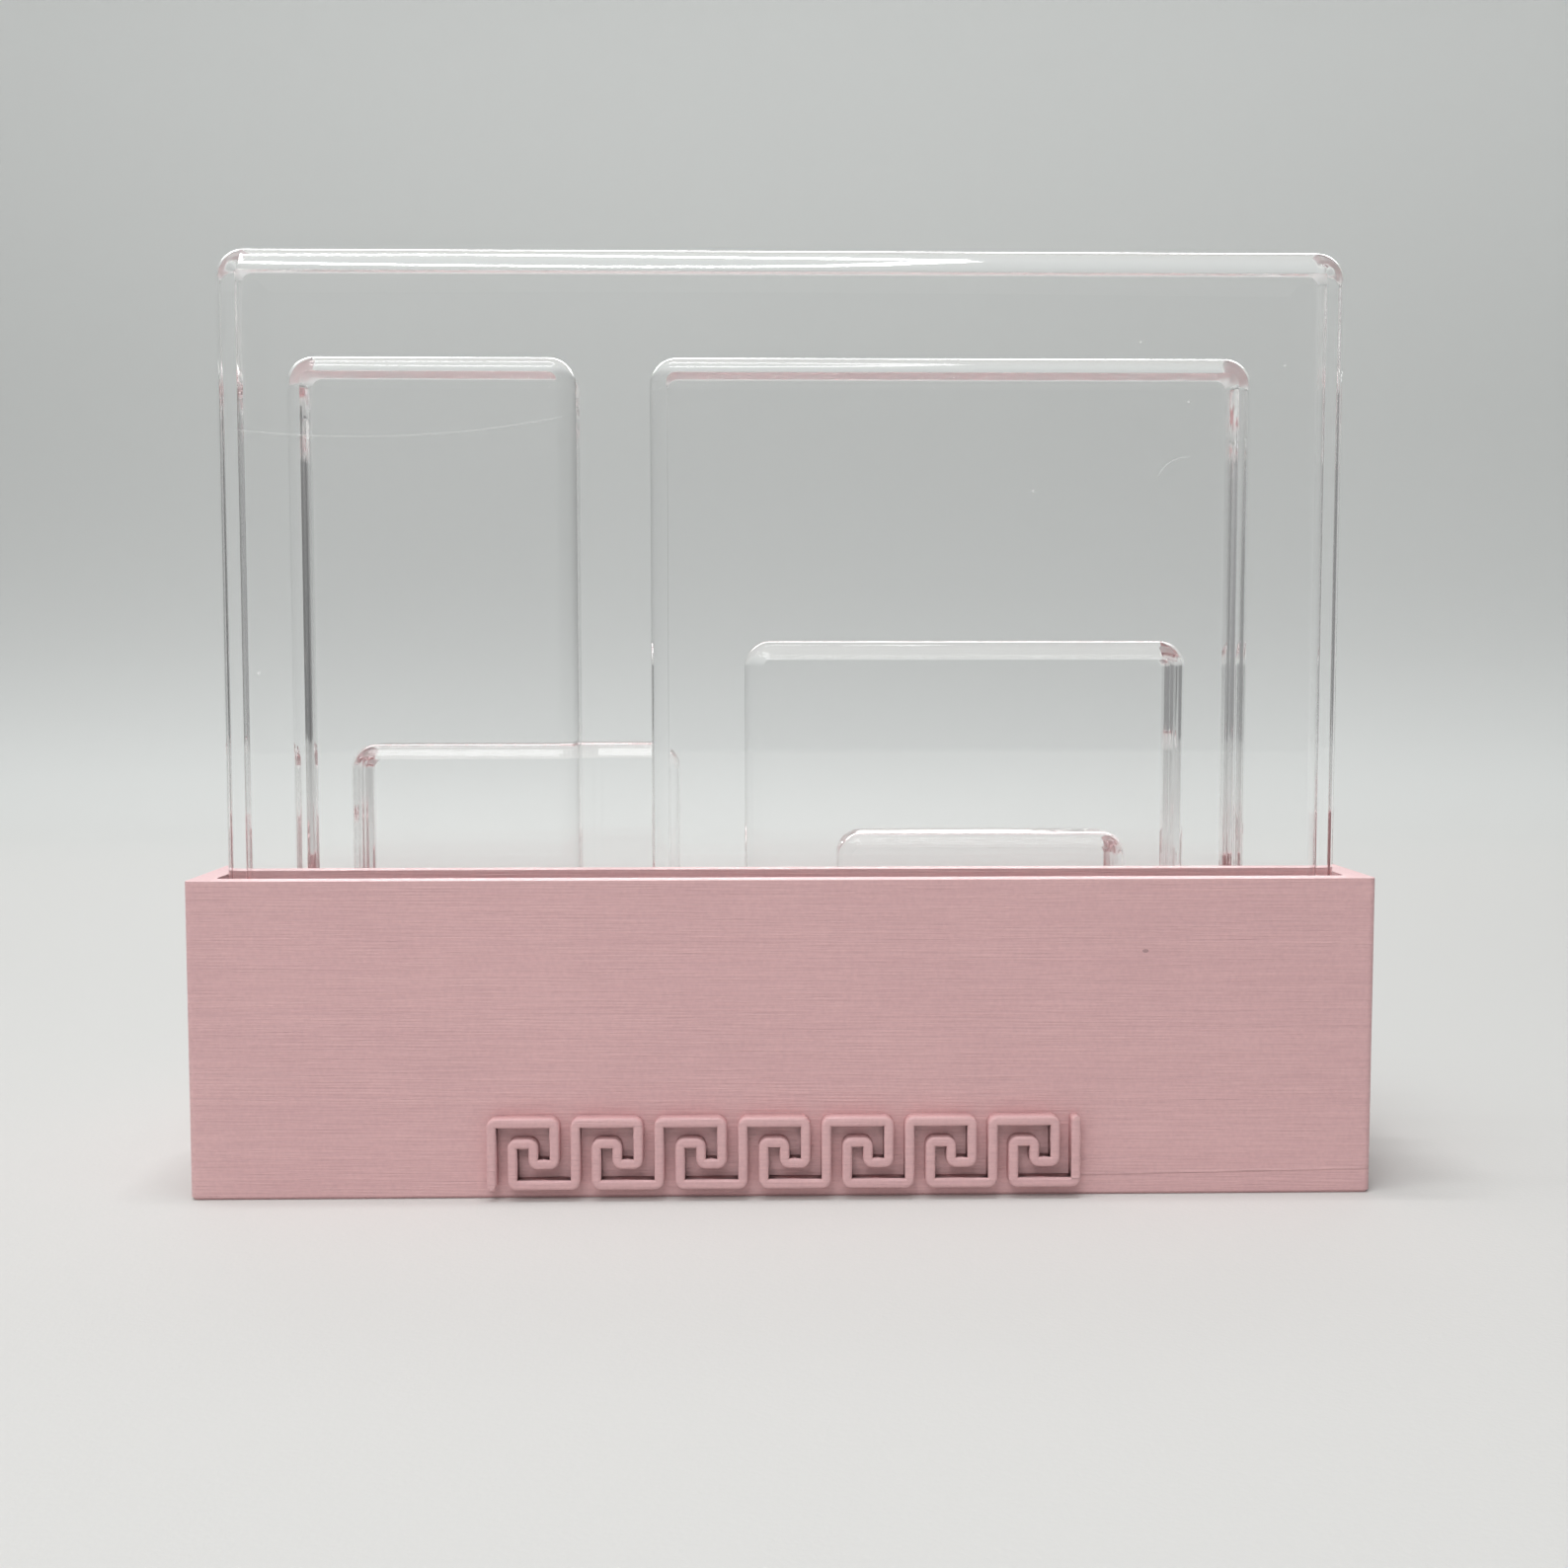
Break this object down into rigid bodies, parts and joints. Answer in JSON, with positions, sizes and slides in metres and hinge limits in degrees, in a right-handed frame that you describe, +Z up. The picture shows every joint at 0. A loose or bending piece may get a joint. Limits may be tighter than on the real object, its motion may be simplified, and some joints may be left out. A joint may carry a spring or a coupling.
{
  "type": "stamping block holder",
  "caption": "Stepped one-piece printed rack for clear acrylic stamping blocks, which stand on edge in rows and lift straight out.",
  "frame": {"origin": "on the base, under the middle of the whole object", "axes": "+X runs along the rows, to the right seen from the tall front wall; +Y runs from the tall front wall to the low rear wall; +Z is up"},
  "size_m": [0.1654, 0.0908, 0.1321],
  "materials": {
    "printed_plastic": "pale pink, satin, with fine horizontal print lines",
    "clear_acrylic": "clear, polished, colourless"
  },
  "bodies": {
    "holder": {"holder": "printed_plastic", "wall_braid": "printed_plastic"},
    "page_block": {"page_block": "clear_acrylic"},
    "card_block": {"card_block": "clear_acrylic"},
    "tall_block": {"tall_block": "clear_acrylic"},
    "medium_block": {"medium_block": "clear_acrylic"},
    "small_block": {"small_block": "clear_acrylic"},
    "low_block": {"low_block": "clear_acrylic"},
    "mini_block": {"mini_block": "clear_acrylic"},
    "border_block": {"border_block": "clear_acrylic"}
  },
  "joints": [
    {"name": "page_lift", "type": "slide", "parent": "holder", "child": "page_block", "axis": [0, 0, 1], "range_m": [0, 0.0314]},
    {"name": "card_lift", "type": "slide", "parent": "holder", "child": "card_block", "axis": [0, 0, 1], "range_m": [0, 0.044]},
    {"name": "tall_lift", "type": "slide", "parent": "holder", "child": "tall_block", "axis": [0, 0, 1], "range_m": [0, 0.044]},
    {"name": "medium_lift", "type": "slide", "parent": "holder", "child": "medium_block", "axis": [0, 0, 1], "range_m": [0, 0.034]},
    {"name": "small_lift", "type": "slide", "parent": "holder", "child": "small_block", "axis": [0, 0, 1], "range_m": [0, 0.034]},
    {"name": "low_lift", "type": "slide", "parent": "holder", "child": "low_block", "axis": [0, 0, 1], "range_m": [0, 0.026]},
    {"name": "mini_lift", "type": "slide", "parent": "holder", "child": "mini_block", "axis": [0, 0, 1], "range_m": [0, 0.026]},
    {"name": "border_lift", "type": "slide", "parent": "holder", "child": "border_block", "axis": [0, 0, 1], "range_m": [0, 0.02]}
  ]
}
